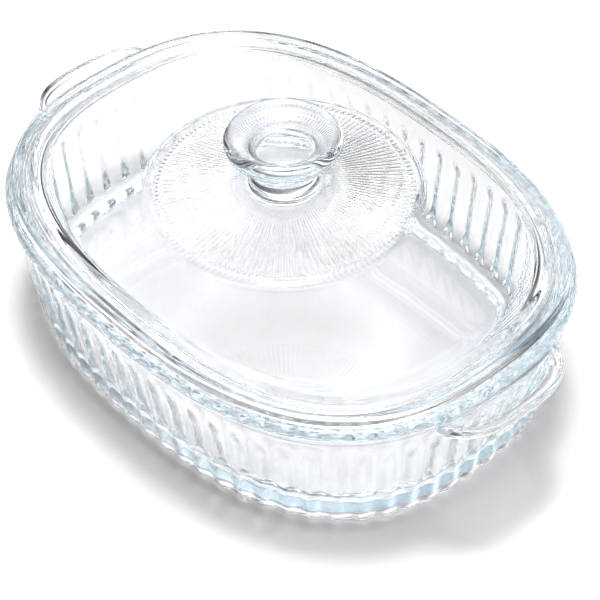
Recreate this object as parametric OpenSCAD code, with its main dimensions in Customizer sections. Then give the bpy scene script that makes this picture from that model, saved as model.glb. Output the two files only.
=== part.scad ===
// Oval covered casserole in pressed glass: a fluted dish with a lug handle at each end,
// and a loose domed lid with a dished knob. The origin is on the table under the middle
// of the dish, X runs along the long axis and Z is up.

/* [Outline] */
// Length over the rim, without the handles
rim_length = 260; // [216:1:312]
// Width over the rim
rim_width = 198; // [165:1:238]
// Fullness of the oval's corners, where 2 is an ellipse
corner_fullness = 2.58; // [2.2:0.01:3]

/* [Dish] */
// Height of the rim above the table
dish_height = 64; // [50:0.5:90]
// Thickness of the side wall
wall_thickness = 5.5; // [4:0.1:7]
// Thickness of the floor
floor_thickness = 5; // [3.5:0.1:8]
// How far the wall leans in from the bead to the heel
wall_taper = 6.8; // [3:0.1:10]
// Height of the rounded bead round the rim
bead_height = 8; // [6.5:0.1:10]
// How far the bead stands out from the wall
bead_overhang = 3; // [2:0.1:4]
// Radius between the inner wall and the floor
floor_radius = 16; // [10:0.5:18]
// Height of the rounded heel under the flutes
heel_height = 3.3; // [2:0.1:5]

/* [Flutes] */
// Number of upright flutes round the wall
flute_count = 66; // [48:2:80]
// How far each flute stands out from the wall
flute_depth = 1.2; // [0.8:0.1:2]
// Height of the plain band between the flutes and the bead
plain_band = 7; // [4:0.5:12]
// Height of the rounded top of each flute
flute_round = 3; // [1.5:0.5:5]

/* [Handles] */
// Width of each lug handle where it leaves the rim
handle_width = 75; // [60:1:90]
// How far each handle reaches past the rim
handle_reach = 15.5; // [10:0.5:20]
// Thickness of each handle
handle_thickness = 5; // [4:0.1:6]
// How far the handle's top lies below the rim
handle_drop = 3.1; // [2.2:0.1:4]

/* [Lid] */
// How far the lid's edge stands in from the bead
lid_inset = 3; // [2:0.1:4]
// Thickness of the lid's edge
lid_edge = 5.6; // [4.5:0.1:7]
// Thickness of the dome
dome_thickness = 4.5; // [3.5:0.1:6]
// Rise of the dome from the lid's edge to the medallion
dome_rise = 10.8; // [8:0.1:16]
// Rise of the rounded shoulder where the dome leaves the flat edge
shoulder_rise = 3; // [1.5:0.1:4]
// Width of that shoulder
shoulder_width = 4.5; // [3:0.1:6]
// Diameter of the round medallion in the middle of the lid
medallion_diameter = 117; // [90:1:130]
// Rise of the medallion from its edge to the foot of the knob
medallion_rise = 5.4; // [2:0.1:8]
// Width of the ridge under the lid that keeps it in place
ridge_width = 5; // [3:0.1:7]
// How far the ridge reaches down into the dish
ridge_depth = 3; // [2:0.1:5]

/* [Knob] */
// Diameter of the knob's disc
knob_diameter = 50.2; // [40:0.2:60]
// Height of the knob above its foot
knob_height = 25; // [22:0.5:32]
// Thickness of the disc at its rounded edge
knob_edge = 8; // [6:0.1:9]
// Depth of the hollow in the knob's top
knob_hollow = 5.5; // [3:0.1:7]
// Diameter of the neck under the disc
neck_diameter = 28; // [22:0.2:30]
// Diameter of the foot where the knob meets the lid
foot_diameter = 35; // [33:0.2:46]

/* [Fit] */
// Gap under the lid's edge when it is seated
seat_gap = 0.2; // [0.1:0.05:0.4]
// Gap between the lid's ridge and the dish's wall
ridge_gap = 1.5; // [1:0.1:3]

/* [Hidden] */
glass_colour = "#cfe3ea";
lid_colour = "#dfe9ec";

half_length = rim_length / 2;
half_width = rim_width / 2;
arc_steps = 720;
sides_per_flute = 4;
dish_sides = flute_count * sides_per_flute;
lid_sides = flute_count * 2;

bead_foot = dish_height - bead_height;
flute_top = bead_foot - plain_band;
handle_top = dish_height - handle_drop;
handle_round = handle_thickness / 4;
handle_root = handle_width / 2;
handle_power = 3;

lid_base = dish_height + seat_gap;
lid_top = lid_base + lid_edge;
medallion_height = lid_top + dome_rise;
knob_base = medallion_height + medallion_rise;
ridge_outside = -bead_overhang - wall_thickness - ridge_gap;
ridge_inside = ridge_outside - ridge_width;

// A power that keeps the sign of what it is given
function signed_power(value, power) = sign(value) * pow(abs(value), power);

// The point of the rim's outline at an angle parameter
function rim_point(turn) = [
    half_length * signed_power(cos(turn), 2 / corner_fullness),
    half_width * signed_power(sin(turn), 2 / corner_fullness)
];

// The outward direction of the rim's outline at one of its points
function rim_normal(point) = let(
    slope = [
        signed_power(point.x / half_length, corner_fullness - 1) / half_length,
        signed_power(point.y / half_width, corner_fullness - 1) / half_width
    ]
) slope / norm(slope);

// Distance walked along the outline, beside the angle parameter reached
walk = [
    for (
        step = 0, walked = 0;
        step <= arc_steps;
        walked = walked + norm(rim_point(360 * (step + 1) / arc_steps) - rim_point(360 * step / arc_steps)),
        step = step + 1
    ) [walked, 360 * step / arc_steps]
];
walk_length = walk[arc_steps][0];

// Points spaced evenly along the outline
function even_points(count) = [
    for (index = [0:count - 1]) rim_point(lookup(walk_length * index / count, walk))
];

dish_points = even_points(dish_sides);
lid_points = even_points(lid_sides);

// Rounded crest of a flute: nothing in the valley and one on the crest
function flute_wave(index) = sin(180 * (index % sides_per_flute) / sides_per_flute);

// How far a handle reaches out of the rim at one point of the outline
function handle_shape(point) = let(
    across = min(1, abs(point.y) / handle_root),
    along = pow(1 - pow(across, handle_power), 1 / handle_power),
    start = half_length - handle_root,
    edge = start + (handle_root + handle_reach) * along
) across < 1 ? max(0, edge - abs(point.x)) : 0;

// One ring of the dish's skin: out from the rim's outline, at a height,
// with its shares of the flutes and of the handles
function dish_ring(out, height, flutes = 0, handles = 0) = [
    for (index = [0:dish_sides - 1]) let(
        point = dish_points[index],
        reach = out + flutes * flute_depth * flute_wave(index) + handles * handle_shape(point),
        place = point + rim_normal(point) * reach
    ) [place.x, place.y, height]
];

// One ring of the lid's skin, which turns from the rim's oval into a circle
function lid_ring(out, height, roundness = 0, radius = 0) = [
    for (point = lid_points) let(
        oval = point + rim_normal(point) * out,
        circle = radius * oval / norm(oval),
        place = oval * (1 - roundness) + circle * roundness
    ) [place.x, place.y, height]
];

// A closed solid from a list of rings of equal length
module skin(rings) {
    sides = len(rings[0]);
    last = len(rings) - 1;
    points = [for (ring = rings) each ring];
    walls = [
        for (row = [0:last - 1], index = [0:sides - 1]) let(
            next = (index + 1) % sides,
            low = row * sides,
            high = low + sides
        ) each [
            [low + index, high + index, high + next],
            [low + index, high + next, low + next]
        ]
    ];
    bottom = [for (index = [0:sides - 1]) index];
    top = [for (index = [sides - 1:-1:0]) last * sides + index];
    polyhedron(points = points, faces = concat([bottom], walls, [top]));
}

// Distance of the plain outer wall from the rim's outline at a height
function wall_out(height) =
    -bead_overhang - wall_taper * (bead_foot - height) / (bead_foot - heel_height);

// Rings round the fillet between the inner wall and the floor
fillet_steps = 3;
inner_foot = floor_thickness + floor_radius;
fillet_rings = [
    for (step = [1:fillet_steps]) let(
        turn = 90 * step / fillet_steps,
        out = wall_out(inner_foot) - wall_thickness - floor_radius * (1 - cos(turn))
    ) dish_ring(out, inner_foot - floor_radius * sin(turn))
];

module dish() {
    color(glass_colour)
    skin(concat([
        dish_ring(wall_out(heel_height) - 2 * flute_depth - 2, 0),
        dish_ring(wall_out(heel_height) - flute_depth, heel_height / 5, 0.6),
        dish_ring(wall_out(heel_height), heel_height, 1),
        dish_ring(wall_out(flute_top - flute_round), flute_top - flute_round, 1),
        dish_ring(wall_out(flute_top - flute_round / 4), flute_top - flute_round / 4, 0.5),
        dish_ring(wall_out(flute_top), flute_top),
        dish_ring(-bead_overhang, handle_top - handle_thickness),
        dish_ring(-bead_overhang / 3, handle_top - handle_thickness + handle_round / 2, 0, 0.95),
        dish_ring(0, handle_top - handle_thickness + 2 * handle_round, 0, 1),
        dish_ring(0, handle_top - handle_round, 0, 1),
        dish_ring(-handle_round / 4, handle_top, 0, 0.95),
        dish_ring(-handle_round / 3, handle_top + handle_round / 8),
        dish_ring(-bead_overhang / 2, dish_height - handle_round / 2),
        dish_ring(-bead_overhang, dish_height),
        dish_ring(-bead_overhang - wall_thickness + 1, dish_height),
        dish_ring(-bead_overhang - wall_thickness, dish_height - 1),
        dish_ring(wall_out(inner_foot) - wall_thickness, inner_foot)
    ], fillet_rings));
}

// The dome's upper and lower faces, from the shoulder in to the medallion
dome_steps = 5;
dome_crown = 0.5;
function dome_ring(step, under) = let(
    share = step / dome_steps,
    swell = share + dome_crown * share * (1 - share),
    rise = shoulder_rise + (dome_rise - shoulder_rise) * swell
) lid_ring(ridge_outside - shoulder_width, lid_top + rise - under, share, medallion_diameter / 2);

// The medallion's faces, from its edge in to the foot of the knob
medallion_steps = 3;
function medallion_ring(step, under) = let(
    share = step / medallion_steps,
    radius = (medallion_diameter * (1 - share) + foot_diameter * share) / 2
) lid_ring(0, medallion_height + medallion_rise * share - under, 1, radius);

module lid_plate() {
    skin(concat(
        [for (step = [medallion_steps:-1:0]) medallion_ring(step, dome_thickness)],
        [for (step = [dome_steps - 1:-1:1]) dome_ring(step, dome_thickness)],
        [
            lid_ring(ridge_inside, lid_base - ridge_depth + 1),
            lid_ring(ridge_inside + 1, lid_base - ridge_depth),
            lid_ring(ridge_outside - 1, lid_base - ridge_depth),
            lid_ring(ridge_outside, lid_base - ridge_depth + 1),
            lid_ring(ridge_outside, lid_base),
            lid_ring(-lid_inset - 1, lid_base),
            lid_ring(-lid_inset, lid_base + 1),
            lid_ring(-lid_inset, lid_top - 2),
            lid_ring(-lid_inset - 0.6, lid_top - 0.6),
            lid_ring(-lid_inset - 2, lid_top),
            lid_ring(ridge_outside, lid_top),
            lid_ring(ridge_outside - shoulder_width / 2, lid_top + shoulder_rise * 0.7)
        ],
        [for (step = [0:dome_steps - 1]) dome_ring(step, 0)],
        [for (step = [0:medallion_steps]) medallion_ring(step, 0)]
    ));
}

// A disc with a rounded edge and a hollow top, on a neck that flares to a foot
module knob() {
    disc = knob_diameter / 2;
    neck = neck_diameter / 2;
    foot = foot_diameter / 2;
    top = knob_base + knob_height;
    edge_round = knob_edge / 2;
    sink = dome_thickness / 10;
    flare_height = knob_height * 0.2;
    waist = knob_base + knob_height * 0.45;
    disc_foot = top - knob_edge;
    hollow_radius = disc - edge_round;
    hollow_ball = (pow(hollow_radius, 2) + pow(knob_hollow, 2)) / (2 * knob_hollow);
    difference() {
        rotate_extrude($fn = 96)
        polygon(concat(
            [[0, knob_base - dome_thickness / 2], [foot, knob_base - dome_thickness / 2]],
            [for (turn = [0:18:90]) [
                foot - (foot - neck) * sin(turn),
                knob_base - sink + flare_height * (1 - cos(turn))
            ]],
            [for (turn = [0:18:72]) [
                neck + (hollow_radius - neck) * (1 - cos(turn)),
                waist + (disc_foot - waist) * sin(turn)
            ]],
            [for (turn = [-90:18:90]) [
                hollow_radius + edge_round * cos(turn),
                top - edge_round + edge_round * sin(turn)
            ]],
            [[0, top]]
        ));
        translate([0, 0, top - knob_hollow + hollow_ball])
        sphere(r = hollow_ball, $fn = 96);
    }
}

module lid() {
    color(lid_colour) {
        lid_plate();
        knob();
    }
}

dish();
lid();
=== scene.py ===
import math
import bpy
import numpy as np
from mathutils import Matrix, Vector


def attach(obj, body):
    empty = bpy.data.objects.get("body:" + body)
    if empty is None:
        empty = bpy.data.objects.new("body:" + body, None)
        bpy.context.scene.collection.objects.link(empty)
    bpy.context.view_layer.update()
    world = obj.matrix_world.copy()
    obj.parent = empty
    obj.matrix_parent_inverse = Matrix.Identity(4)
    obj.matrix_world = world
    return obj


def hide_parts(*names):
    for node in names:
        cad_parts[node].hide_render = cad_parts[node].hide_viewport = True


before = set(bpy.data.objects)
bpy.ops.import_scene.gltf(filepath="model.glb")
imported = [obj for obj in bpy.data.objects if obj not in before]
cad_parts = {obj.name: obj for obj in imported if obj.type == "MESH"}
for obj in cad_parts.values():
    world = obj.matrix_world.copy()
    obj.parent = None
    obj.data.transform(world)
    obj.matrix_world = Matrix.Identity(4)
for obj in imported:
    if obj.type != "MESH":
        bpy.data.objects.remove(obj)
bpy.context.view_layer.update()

mm = 0.001   # sizes below are in millimetres, meshes are in metres

# the oval that both pieces follow

oval = dict(length=260, width=198, fullness=2.58)


def signedPower(value, power):
    # the power of the size, with the sign kept
    return np.sign(value) * np.abs(value) ** power


def ovalPath(sides):
    # superellipse (a cos^(2/n) t, b sin^(2/n) t) walked in equal lengths, with its outward
    # direction (x^(n-1) / a^n, y^(n-1) / b^n) made one long
    a, b, n = oval["length"] / 2, oval["width"] / 2, oval["fullness"]
    turn = np.linspace(0, 2 * np.pi, 40001)
    x, y = a * signedPower(np.cos(turn), 2 / n), b * signedPower(np.sin(turn), 2 / n)
    walked = np.concatenate([[0], np.cumsum(np.hypot(np.diff(x), np.diff(y)))])
    at = np.linspace(0, walked[-1], sides, endpoint=False)
    x, y = np.interp(at, walked, x), np.interp(at, walked, y)
    slope = np.stack([signedPower(x / a, n - 1) / a, signedPower(y / b, n - 1) / b], -1)
    return np.stack([x, y], -1), slope / np.linalg.norm(slope, axis=1, keepdims=True)


def smooth(low, high, value):
    # 0 below low and 1 above high, with the cubic 3t^2 - 2t^3 between
    t = np.clip((value - low) / (high - low), 0, 1)
    return t * t * (3 - 2 * t)


def closedSkin(name, rings, thick, firstPole, lastPole):
    # rings is a grid of points, rows along the profile and columns round the oval. Each cell is
    # one quad, the last column joins the first, and a fan closes each end at its pole. thick
    # says how thick the glass is behind each point, from 0 to 1, for the colour.
    rows, sides = rings.shape[:2]
    points = np.vstack([rings.reshape(-1, 3), [firstPole, lastPole]]) * mm
    here = np.arange(sides)
    after = (here + 1) % sides
    row = np.arange(rows - 1)[:, None] * sides
    quads = np.stack([row + here, row + after, row + sides + after, row + sides + here], -1)
    quads = quads.reshape(-1, 4)
    top = (rows - 1) * sides
    first, last = rows * sides, rows * sides + 1
    fans = np.vstack([
        np.stack([np.full(sides, first), after, here], -1),
        np.stack([np.full(sides, last), top + here, top + after], -1),
    ])
    corners = np.concatenate([quads.ravel(), fans.ravel()])
    starts = np.concatenate([np.arange(len(quads)) * 4, len(quads) * 4 + np.arange(len(fans)) * 3])
    mesh = bpy.data.meshes.new(name)
    mesh.vertices.add(len(points))
    mesh.vertices.foreach_set("co", points.astype(np.float32).ravel())
    mesh.loops.add(len(corners))
    mesh.loops.foreach_set("vertex_index", corners.astype(np.int32))
    mesh.polygons.add(len(starts))
    mesh.polygons.foreach_set("loop_start", starts.astype(np.int32))
    mesh.polygons.foreach_set("use_smooth", np.ones(len(starts), bool))
    mesh.update(calc_edges=True)
    mesh.validate()
    deep = np.concatenate([thick.ravel(), thick[0, :1], thick[-1, :1]]).astype(np.float32)
    mesh.attributes.new("thick", "FLOAT", "POINT").data.foreach_set("value", deep)
    piece = bpy.data.objects.new(name, mesh)
    bpy.context.scene.collection.objects.link(piece)
    return piece


# the dish

dishSizes = dict(
    height=64, wall=5.5, floor=5, taper=6.8, floorRadius=16,
    heel=3.3, foot=4.2, footWidth=5, hollow=0.8,
    bead=8, beadOut=3, rimFlat=2.5, rimRound=1.4,
    flutes=66, sidesPerFlute=12, fluteDepth=1.1, plainBand=7, fluteRound=9, fluteArch=3.2,
    lugWidth=75, lugReach=15.5, lugThick=5, lugDrop=3.1, lugPlate=1.3, lugHollow=0.9,
)


def wallOut(height):
    # the wall leans in by its taper from the foot of the bead to the heel, in a straight line
    d = dishSizes
    beadFoot = d["height"] - d["bead"]
    return -d["beadOut"] - d["taper"] * (beadFoot - height) / (beadFoot - d["heel"])


def lugShape(points):
    # how far the lug stands out from the oval: its edge is the curve |x|^3 + |y|^3 = 1, scaled
    # to half its width and moved to its place on the long axis
    d = dishSizes
    root = d["lugWidth"] / 2
    across = np.abs(points[:, 1]) / root
    along = (1 - np.clip(across, 0, 1) ** 3) ** (1 / 3)
    edge = oval["length"] / 2 - root + (root + d["lugReach"]) * along
    return np.where(across < 1, np.maximum(0, edge - np.abs(points[:, 0])), 0)


def makeDish():
    d = dishSizes
    sides = d["flutes"] * d["sidesPerFlute"]
    points, normals = ovalPath(sides)
    phase = (np.arange(sides) % d["sidesPerFlute"]) / d["sidesPerFlute"]
    flute = (1 - np.cos(2 * np.pi * phase)) / 2          # round crests and round valleys
    lug = lugShape(points)
    onLug = smooth(0.2, 4, lug)
    rows, thick = [], []

    def add(place, height, deep=0.0):
        rows.append(np.column_stack([place, np.broadcast_to(height, (sides,))]))
        thick.append(np.broadcast_to(deep, (sides,)))

    def ring(out, height, flutes=0.0, deep=0.0):
        # one ring of the skin: out from the oval, with its share of the flutes
        reach = out + flutes * d["fluteDepth"] * flute
        add(points + normals * np.broadcast_to(reach, (sides,))[:, None], height, deep)

    heel, beadFoot = d["heel"], d["height"] - d["bead"]
    fluteTop = beadFoot - d["plainBand"]
    footOut = wallOut(heel) - d["foot"]
    # hollow under the floor, and the foot round it
    for share in (0.25, 0.5, 0.75, 0.97):
        add((points + normals * (footOut - d["footWidth"])) * share, d["hollow"])
    for inwards, height in ((4, 0.8), (3, 0.2), (2, 0)):
        ring(footOut - inwards, d["hollow"] * height, deep=0.3)
    ring(footOut, 0.0, 0.05, 0.5)
    # rounded heel, a quarter ellipse that takes on the flutes
    for turn in np.linspace(0.15, 1, 8) * math.pi / 2:
        side = math.sin(turn)
        ring(footOut + d["foot"] * side, heel * (1 - math.cos(turn)), 0.25 + 0.75 * side ** 2, 0.6)
    # wall with its flutes, which fade out in a round top, the crests higher than the valleys
    for height in np.linspace(heel, fluteTop - d["fluteRound"], 14)[1:]:
        ring(wallOut(height), height, 1, 0.6 * math.exp(-(height - heel) / 2))
    for step in np.linspace(0, 1, 10)[1:]:
        arch = (1 - flute) * d["fluteArch"] * step * (1 - step)
        height = fluteTop - d["fluteRound"] * (1 - step) - arch
        fade = (1 + math.cos(math.pi * step)) / 2
        add(points + normals * (wallOut(height) + d["fluteDepth"] * flute * fade)[:, None], height)
    for height in np.linspace(fluteTop, beadFoot - 0.1, 6)[1:]:
        blend = float(smooth(beadFoot - 2, beadFoot, height))
        ring(wallOut(height) + 0.9 * blend, height, 0, 0.5 * blend)

    # bead and lugs: away from the lugs the rows climb a half ellipse, and on a lug they run out
    # under its thin plate, round its lip, back over the plate and up to the bead
    middle, high = d["height"] - d["bead"] / 2, d["bead"] / 2
    lugTop = d["height"] - d["lugDrop"]
    lugFoot = lugTop - d["lugThick"]
    under, over = lugFoot + d["lugHollow"], lugTop - d["lugPlate"]
    path = [                                             # share of the lug, out, height
        (0.1, 0, lugFoot + 0.35), (0.3, 0, under - 0.2), (0.6, 0, under),
        (1, -4.4, under), (1, -3.2, under - 0.25), (1, -2.4, lugFoot + 0.1), (1, -1.7, lugFoot),
        (1, -0.9, lugFoot + 0.3), (1, -0.25, lugFoot + 1.0), (1, 0, lugFoot + 2.0),
        (1, 0, lugTop - 1.9), (1, -0.2, lugTop - 1.0), (1, -0.7, lugTop - 0.3), (1, -1.3, lugTop),
        (1, -1.9, lugTop - 0.15), (1, -2.4, lugTop - 0.6), (1, -2.9, over + 0.1), (1, -3.9, over),
        (0.6, 0, over - 0.25), (0.3, 0, over - 0.25), (0.12, 0, over - 0.1),
        (0.04, 0.2, over + 0.3), (0, 0.1, over + 1.1),
    ]
    low, top = -math.pi / 2 + 0.12, math.asin((over + 1.1 - middle) / high)
    squeeze = np.minimum(1, lug / 8)                     # a narrow lug keeps a narrow lip
    for step, (share, out, height) in enumerate(path):
        turn = low + (top - low) * step / (len(path) - 1)
        beadOut = d["beadOut"] * (math.cos(turn) - 1)
        beadHigh = middle + high * math.sin(turn)
        lugOut = share * lug + out * (squeeze if share == 1 else 1)
        deep = 1 - onLug * (1 if 2 < step < 19 else 0.6)
        out = beadOut * (1 - onLug) + lugOut * onLug
        ring(out, beadHigh * (1 - onLug) + height * onLug, 0, deep)
    for turn in np.linspace(top, math.pi / 2, 7)[1:]:
        deep = math.cos(turn) ** 0.5
        ring(d["beadOut"] * (math.cos(turn) - 1), middle + high * math.sin(turn), 0, deep)

    # flat rim, its inner edge, the inner wall, the fillet and the floor
    inner, rimRound = -d["beadOut"] - d["wall"], d["rimRound"]
    rimFoot = d["height"] - rimRound
    ring(inner + d["rimFlat"], d["height"])
    for turn in np.linspace(0, math.pi / 2, 6):
        ring(inner + rimRound * (1 - math.sin(turn)), rimFoot + rimRound * math.cos(turn))
    filletTop = d["floor"] + d["floorRadius"]
    for height in np.linspace(rimFoot, filletTop, 8)[1:]:
        lean = (rimFoot - height) / (rimFoot - filletTop)
        ring(inner + (wallOut(filletTop) - d["wall"] - inner) * lean, height)
    for turn in np.linspace(0, math.pi / 2, 12)[1:]:
        out = wallOut(filletTop) - d["wall"] - d["floorRadius"] * (1 - math.cos(turn))
        ring(out, filletTop - d["floorRadius"] * math.sin(turn))
    edge = rows[-1][:, :2]
    for share in (0.9, 0.7, 0.45, 0.2):
        add(edge * share, d["floor"])
    return closedSkin(
        "dishGlass", np.array(rows), np.array(thick), (0, 0, d["hollow"]), (0, 0, d["floor"]),
    )


dish = makeDish()
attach(dish, "dish")
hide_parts("dish")
print("dish made:", len(dish.data.polygons), "faces")

# the lid, with its medallion and knob in one skin

lidSizes = dict(
    base=64.2, edge=5.6, inset=3, thick=4.5, lowerRound=1.2, upperRound=2.2,
    ridgeOut=-10, ridgeWidth=5, ridgeDeep=3, ridgeRound=1.2,
    domeRise=10.8, shoulderRise=3, shoulderWidth=4.5, crown=0.5,
    medallion=58.5, medallionRise=5.4, medallionStep=0.35, rayStep=0.3,
    rays=132, sidesPerRay=4, rayInside=21, rayOutside=55.2, rayDeep=0.36,
    rayFade=10, bead=2.2, beadDeep=0.55,
    knobBase=86, knobHigh=25, knobRadius=25.1, knobEdge=8, knobHollow=5.5,
    neck=14, foot=17.5, flare=0.2, waist=0.45, knobSink=0.45,
)


def makeLid():
    z = lidSizes
    sides = z["rays"] * z["sidesPerRay"]
    points, normals = ovalPath(sides)
    even = 2 * np.pi * np.arange(sides) / sides          # the medallion's own even turns
    roundPath = np.stack([np.cos(even), np.sin(even)], -1)
    ray = np.sin(np.pi * (np.arange(sides) % z["sidesPerRay"]) / z["sidesPerRay"])
    top = z["base"] + z["edge"]
    medallionFoot = top + z["domeRise"]
    rows, thick = [], []

    def add(place, height, deep=0.0):
        rows.append(np.column_stack([place, np.broadcast_to(height, (sides,))]))
        thick.append(np.full(sides, float(deep)))

    def ring(out, height, deep=0.0):
        add(points + normals * out, height, deep)

    def circle(radius, height, deep=0.0):
        add(radius * roundPath, height, deep)

    def dome(share, under):
        # the oval shoulder turns into the medallion's circle as share goes from 0 to 1, and the
        # height climbs as share + crown * share * (1 - share)
        swell = share + z["crown"] * share * (1 - share)
        height = top + z["shoulderRise"] + (z["domeRise"] - z["shoulderRise"]) * swell - under
        start = points + normals * (z["ridgeOut"] - z["shoulderWidth"])
        add(start * (1 - share) + z["medallion"] * roundPath * share, height)

    def medallionHeight(radius):
        # a cone from the medallion's edge up to the foot of the knob
        share = (z["medallion"] - radius) / (z["medallion"] - z["foot"])
        return medallionFoot + z["medallionRise"] * min(1, max(0, share))

    # under side, from the middle out
    for radius in (6, 12, 17.5, 22, 28, 34, 40, 46, 52, z["medallion"]):
        circle(radius, medallionHeight(radius) - z["thick"])
    for share in np.linspace(1, 0, 14)[1:-1]:
        dome(share, z["thick"])
    # the ridge that keeps the lid in place, then the flat seat
    inside, outside = z["ridgeOut"] - z["ridgeWidth"], z["ridgeOut"]
    low = z["base"] - z["ridgeDeep"]
    corner = z["ridgeRound"]
    for turn in np.linspace(0, 1, 5) * math.pi / 2:
        ring(inside + corner * (1 - math.cos(turn)), low + corner * (1 - math.sin(turn)))
    for turn in np.linspace(0, 1, 5) * math.pi / 2:
        ring(outside - corner * (1 - math.sin(turn)), low + corner * (1 - math.cos(turn)))
    ring(outside, z["base"] - 0.5)
    ring(outside + 0.5, z["base"])
    ring(-z["inset"] - 1.5, z["base"])
    # rounded edge, lower and upper corner
    corner = z["lowerRound"]
    for turn in np.linspace(0, 1, 5)[1:] * math.pi / 2:
        out = -z["inset"] - corner * (1 - math.sin(turn))
        ring(out, z["base"] + corner * (1 - math.cos(turn)), 0.3)
    corner = z["upperRound"]
    for turn in np.linspace(0, 1, 7) * math.pi / 2:
        out = -z["inset"] - corner * (1 - math.cos(turn))
        ring(out, top - corner * (1 - math.sin(turn)), 0.2 * math.cos(turn))
    ring(outside + 1.2, top)
    # shoulder, a rounded step up to the dome
    for share in np.linspace(0, 1, 8)[:-1]:
        rise = z["shoulderRise"] * math.sin(share * math.pi / 2) ** 1.3
        ring(outside - z["shoulderWidth"] * share, top + rise)
    for share in np.linspace(0, 1, 20)[:-1]:
        dome(share, 0)

    # medallion: a plain band with a small step, then rays that start in a round bead and fade
    # towards the knob; their height is a half sine across each ray
    circle(z["medallion"], medallionFoot)
    circle(z["medallion"] - 0.5, medallionFoot + z["medallionStep"])
    beadEnd = z["rayOutside"] - z["bead"]
    radii = np.concatenate([
        [57.2, 56.2],
        z["rayOutside"] - z["bead"] / 2 * (1 - np.cos(np.linspace(0, 1, 8) * math.pi)),
        np.linspace(beadEnd - 0.9, z["rayInside"] + 1, 16),
    ])
    for radius in radii:
        across = (radius - beadEnd) / z["bead"] * 2 - 1  # -1 to 1 over the bead
        bead = math.sqrt(max(0, 1 - across ** 2)) * z["beadDeep"]
        fade = float(smooth(z["rayInside"], z["rayInside"] + z["rayFade"], radius))
        groove = z["rayDeep"] * fade * (radius < beadEnd - 0.5)
        step = z["rayStep"] * float(smooth(20, 24, radius))
        circle(radius, medallionHeight(radius) + step + (ray - 0.5) * 2 * max(bead, groove))

    # knob: quarter-ellipse foot, waist, flaring under side, rounded edge and hollow top
    base, knobTop = z["knobBase"], z["knobBase"] + z["knobHigh"]
    flare, bulge = z["knobHigh"] * z["flare"], z["knobEdge"] / 2
    waist, discFoot = base + z["knobHigh"] * z["waist"], knobTop - z["knobEdge"]
    brim = z["knobRadius"] - bulge
    sunk = base - z["knobSink"]
    for turn in np.linspace(0, 1, 10) * math.pi / 2:
        radius = z["foot"] - (z["foot"] - z["neck"]) * math.sin(turn)
        circle(radius, sunk + flare * (1 - math.cos(turn)), 0.15)
    for turn in np.linspace(0, 1, 12)[:-1] * math.pi / 2:
        radius = z["neck"] + (brim - z["neck"]) * (1 - math.cos(turn))
        circle(radius, waist + (discFoot - waist) * math.sin(turn), 0.3)
    for turn in np.linspace(-1, 1, 15) * math.pi / 2:
        height = knobTop - bulge + bulge * math.sin(turn)
        circle(brim + bulge * math.cos(turn), height, 0.9 * math.cos(turn) ** 0.5)
    ball = (brim ** 2 + z["knobHollow"] ** 2) / (2 * z["knobHollow"])
    for radius in np.linspace(brim, 1, 14)[1:]:
        circle(radius, knobTop - z["knobHollow"] + ball - math.sqrt(ball ** 2 - radius ** 2))
    return closedSkin(
        "lidGlass", np.array(rows), np.array(thick),
        (0, 0, medallionHeight(0) - z["thick"]), (0, 0, knobTop - z["knobHollow"]),
    )


lid = makeLid()
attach(lid, "lid")
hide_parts("lid")
print("lid made:", len(lid.data.polygons), "faces")

# glass

def pressedGroup():
    # shared by both pieces: slow waves left by the mould and faint handling marks
    group = bpy.data.node_groups.new("pressedSurface", "ShaderNodeTree")
    face = group.interface
    starting = {"Wave Size": 40.0, "Mark Size": 260.0, "Least Rough": 0.0, "Most Rough": 0.03}
    for name, value in starting.items():
        socket = face.new_socket(name=name, in_out="INPUT", socket_type="NodeSocketFloat")
        socket.default_value = value
    for name in ("Height", "Rough", "Mask"):
        face.new_socket(name=name, in_out="OUTPUT", socket_type="NodeSocketFloat")
    nodes, links = group.nodes, group.links
    inside, outside = nodes.new("NodeGroupInput"), nodes.new("NodeGroupOutput")
    place = nodes.new("ShaderNodeTexCoord")
    wave = nodes.new("ShaderNodeTexNoise")
    wave.inputs["Detail"].default_value = 1.0
    marks = nodes.new("ShaderNodeTexNoise")
    marks.inputs["Detail"].default_value = 4.0
    rough = nodes.new("ShaderNodeMapRange")
    rough.inputs["From Min"].default_value = 0.45
    rough.inputs["From Max"].default_value = 0.75
    for texture, size in ((wave, "Wave Size"), (marks, "Mark Size")):
        links.new(place.outputs["Object"], texture.inputs["Vector"])
        links.new(inside.outputs[size], texture.inputs["Scale"])
    links.new(marks.outputs["Fac"], rough.inputs["Value"])
    links.new(inside.outputs["Least Rough"], rough.inputs["To Min"])
    links.new(inside.outputs["Most Rough"], rough.inputs["To Max"])
    links.new(wave.outputs["Fac"], outside.inputs["Height"])
    links.new(rough.outputs["Result"], outside.inputs["Rough"])
    links.new(marks.outputs["Fac"], outside.inputs["Mask"])
    return group


glassLooks = dict(
    clear=(1.0, 1.0, 1.0), tint=(0.985, 0.99, 0.995), thickTint=(0.97, 0.985, 0.99),
    body=(0.30, 0.72, 0.90), density=0.9, index=1.5, waveDepth=0.00003,
    dish=dict(waveSize=45.0, markSize=240.0), lid=dict(waveSize=30.0, markSize=300.0),
)


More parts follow.
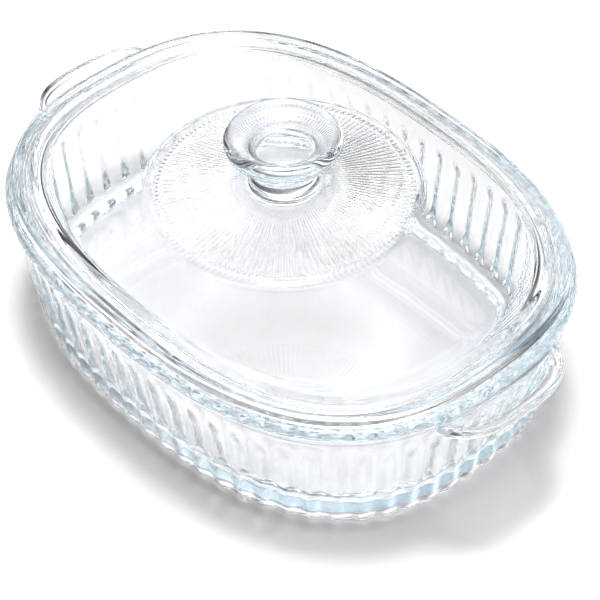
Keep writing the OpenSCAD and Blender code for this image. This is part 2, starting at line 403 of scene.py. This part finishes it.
def makeGlass(name, group, waveSize, markSize):
    g = glassLooks
    material = bpy.data.materials.new(name)
    material.use_nodes = True
    nodes, links = material.node_tree.nodes, material.node_tree.links
    nodes.clear()
    out = nodes.new("ShaderNodeOutputMaterial")
    shader = nodes.new("ShaderNodeBsdfPrincipled")
    shader.inputs["IOR"].default_value = g["index"]
    shader.inputs["Transmission Weight"].default_value = 1.0
    shader.inputs["Metallic"].default_value = 0.0
    surface = nodes.new("ShaderNodeGroup")
    surface.node_tree = group
    surface.inputs["Wave Size"].default_value = waveSize
    surface.inputs["Mark Size"].default_value = markSize
    colour = nodes.new("ShaderNodeMix")
    colour.data_type = "RGBA"
    colour.inputs["A"].default_value = (*g["clear"], 1)
    colour.inputs["B"].default_value = (*g["tint"], 1)
    deep = nodes.new("ShaderNodeAttribute")
    deep.attribute_name = "thick"
    deepColour = nodes.new("ShaderNodeMix")
    deepColour.data_type = "RGBA"
    deepColour.inputs["B"].default_value = (*g["thickTint"], 1)
    bump = nodes.new("ShaderNodeBump")
    bump.inputs["Strength"].default_value = 1.0
    bump.inputs["Distance"].default_value = g["waveDepth"]
    body = nodes.new("ShaderNodeVolumeAbsorption")
    body.inputs["Color"].default_value = (*g["body"], 1)
    body.inputs["Density"].default_value = g["density"]
    links.new(surface.outputs["Mask"], colour.inputs["Factor"])
    links.new(deep.outputs["Fac"], deepColour.inputs["Factor"])
    links.new(colour.outputs["Result"], deepColour.inputs["A"])
    links.new(deepColour.outputs["Result"], shader.inputs["Base Color"])
    links.new(surface.outputs["Rough"], shader.inputs["Roughness"])
    links.new(surface.outputs["Height"], bump.inputs["Height"])
    links.new(bump.outputs["Normal"], shader.inputs["Normal"])
    links.new(shader.outputs["BSDF"], out.inputs["Surface"])
    links.new(body.outputs["Volume"], out.inputs["Volume"])
    return material


pressed = pressedGroup()
dish.data.materials.append(makeGlass("dishGlassLook", pressed, **glassLooks["dish"]))
lid.data.materials.append(makeGlass("lidGlassLook", pressed, **glassLooks["lid"]))
print("glass made")

# floor, light and camera

studio = dict(
    floorSize=8.0,
    # how pale the floor is at each distance from the middle, in metres. This is painted light:
    # painted shade makes it a little darker under and close to the dish, and a painted fall-off of
    # the light darkens it from about half a metre out into the dark surround that the glass shows
    floorPaintedShade=[(0.0, 0.91), (0.13, 0.91), (0.24, 0.97), (0.45, 0.97), (1.0, 0.28)],
    # brightness of the surroundings by height (rows) and by azimuth (columns, 60 degrees apart)
    firstAzimuth=-131,
    bands=[
        (8, (0.60, 0.20, 0.15, 0.30, 1.10, 0.20)),
        (32, (0.60, 2.10, 0.20, 0.25, 0.40, 0.10)),
        (60, (1.50, 0.90, 0.25, 0.25, 2.15, 0.30)),
        (86, (2.50, 2.50, 2.50, 2.50, 2.50, 2.50)),
    ],
    bandTint=(1.0, 0.985, 0.985),
    keyAzimuth=229, keyHeight=80, keyWidth=6, keySoft=2, keyBright=18.0,
    gamma=0.43, exposure=0.14, bounces=80, diffuseBounces=4, sharpness=0.1,
)


def makeFloor():
    half = studio["floorSize"] / 2
    mesh = bpy.data.meshes.new("floor")
    corners = [(-half, -half, 0), (half, -half, 0), (half, half, 0), (-half, half, 0)]
    mesh.from_pydata(corners, [], [(0, 1, 2, 3)])
    floor = bpy.data.objects.new("floor", mesh)
    floor.location.z = -0.0001
    bpy.context.scene.collection.objects.link(floor)
    material = bpy.data.materials.new("floorPaintedShadeLook")
    material.use_nodes = True
    shader = material.node_tree.nodes["Principled BSDF"]
    nodes, links = material.node_tree.nodes, material.node_tree.links
    place = nodes.new("ShaderNodeTexCoord")
    away = nodes.new("ShaderNodeVectorMath")
    away.operation = "LENGTH"
    # painted shade and painted fall-off of the light: the floor's colour is darker under and close
    # to the dish and darker again far from it, by distance alone
    colour = nodes.new("ShaderNodeValToRGB")
    stops = colour.color_ramp.elements
    while len(stops) < len(studio["floorPaintedShade"]):
        stops.new(0.5)
    for stop, (distance, shade) in zip(stops, studio["floorPaintedShade"]):
        stop.position, stop.color = distance, (shade, shade, shade, 1)
    links.new(place.outputs["Object"], away.inputs[0])
    links.new(away.outputs["Value"], colour.inputs["Fac"])
    links.new(colour.outputs["Color"], shader.inputs["Base Color"])
    shader.inputs["Roughness"].default_value = 0.9
    shader.inputs["Specular IOR Level"].default_value = 0.0
    mesh.materials.append(material)


def makeWorld():
    # each band of height has a ramp of brightness round the horizon, straight lines join the
    # stops and the bands, and one soft round lamp is laid over them
    s = studio
    world = bpy.data.worlds.new("studio")
    bpy.context.scene.world = world
    world.use_nodes = True
    nodes, links = world.node_tree.nodes, world.node_tree.links
    nodes.clear()
    place = nodes.new("ShaderNodeTexCoord")
    background = nodes.new("ShaderNodeBackground")
    out = nodes.new("ShaderNodeOutputWorld")

    def aim(azimuth, height):
        # how much of the direction looked in lies along this azimuth and height
        a, e = math.radians(azimuth), math.radians(height)
        dot = nodes.new("ShaderNodeVectorMath")
        dot.operation = "DOT_PRODUCT"
        flat = math.cos(e)
        dot.inputs[1].default_value = (math.sin(a) * flat, -math.cos(a) * flat, math.sin(e))
        links.new(place.outputs["Generated"], dot.inputs[0])
        return dot.outputs["Value"]

    def span(value, low, high, kind="LINEAR"):
        step = nodes.new("ShaderNodeMapRange")
        step.interpolation_type = kind
        step.inputs["From Min"].default_value = low
        step.inputs["From Max"].default_value = high
        links.new(value, step.inputs["Value"])
        return step.outputs["Result"]

    def mix(share, first, second):
        blend = nodes.new("ShaderNodeMix")
        blend.data_type = "RGBA"
        links.new(share, blend.inputs["Factor"])
        links.new(first, blend.inputs["A"])
        if isinstance(second, tuple):
            blend.inputs["B"].default_value = second
        else:
            links.new(second, blend.inputs["B"])
        return blend.outputs["Result"]

    middle = s["firstAzimuth"] + 180
    turn = nodes.new("ShaderNodeMath")
    turn.operation = "ARCTAN2"
    links.new(aim(middle + 90, 0), turn.inputs[0])
    links.new(aim(middle, 0), turn.inputs[1])
    around = span(turn.outputs["Value"], -math.pi, math.pi)
    rise = nodes.new("ShaderNodeMath")
    rise.operation = "ARCSINE"
    links.new(aim(0, 90), rise.inputs[0])
    colour, below = None, 0
    for height, shades in s["bands"]:
        ramp = nodes.new("ShaderNodeValToRGB")
        stops = ramp.color_ramp.elements
        while len(stops) < len(shades) + 1:
            stops.new(0.5)
        for index, stop in enumerate(stops):
            stop.position = index / len(shades)
            stop.color = (*[shades[index % len(shades)] * part for part in s["bandTint"]], 1)
        links.new(around, ramp.inputs["Fac"])
        if colour is None:
            colour = ramp.outputs["Color"]
        else:
            climb = span(rise.outputs["Value"], math.radians(below), math.radians(height))
            colour = mix(climb, colour, ramp.outputs["Color"])
        below = height
    edge = math.cos(math.radians(s["keyWidth"] + s["keySoft"]))
    core = math.cos(math.radians(s["keyWidth"] - s["keySoft"]))
    lamp = span(aim(s["keyAzimuth"], s["keyHeight"]), edge, core, "SMOOTHSTEP")
    colour = mix(lamp, colour, (*[s["keyBright"]] * 3, 1))
    links.new(colour, background.inputs["Color"])
    links.new(background.outputs["Background"], out.inputs["Surface"])


cameraPlace = dict(
    azimuth=48.86, height=44.99, roll=-0.92, away=0.9561, lens=134.03,
    aim=(0, 0, 0.067), right=0.0065, up=-0.0379,
)


def makeCamera():
    c = cameraPlace
    data = bpy.data.cameras.new("camera")
    camera = bpy.data.objects.new("camera", data)
    bpy.context.scene.collection.objects.link(camera)
    bpy.context.scene.camera = camera
    data.lens = c["lens"]
    data.sensor_width = 36
    data.clip_start, data.clip_end = 0.01, 50
    a, e, r = (math.radians(c[name]) for name in ("azimuth", "height", "roll"))
    back = Vector((math.sin(a) * math.cos(e), -math.cos(a) * math.cos(e), math.sin(e)))
    right = Vector((math.cos(a), math.sin(a), 0))
    up = back.cross(right)
    right, up = math.cos(r) * right + math.sin(r) * up, math.cos(r) * up - math.sin(r) * right
    place = Vector(c["aim"]) + c["right"] * right + c["up"] * up + c["away"] * back
    turn = Matrix((right, up, back)).transposed().to_4x4()
    camera.matrix_world = Matrix.Translation(place) @ turn


makeFloor()
makeWorld()
makeCamera()
scene = bpy.context.scene
scene.view_settings.view_transform = "Standard"
scene.view_settings.gamma = studio["gamma"]
scene.view_settings.exposure = studio["exposure"]
scene.cycles.blur_glossy = studio["sharpness"]  # low, so light through the glass stays sharp
scene.cycles.max_bounces = studio["bounces"]  # light runs far inside the thick edges
scene.cycles.transmission_bounces = studio["bounces"]
scene.cycles.glossy_bounces = studio["bounces"]
scene.cycles.diffuse_bounces = studio["diffuseBounces"]
print("studio made")
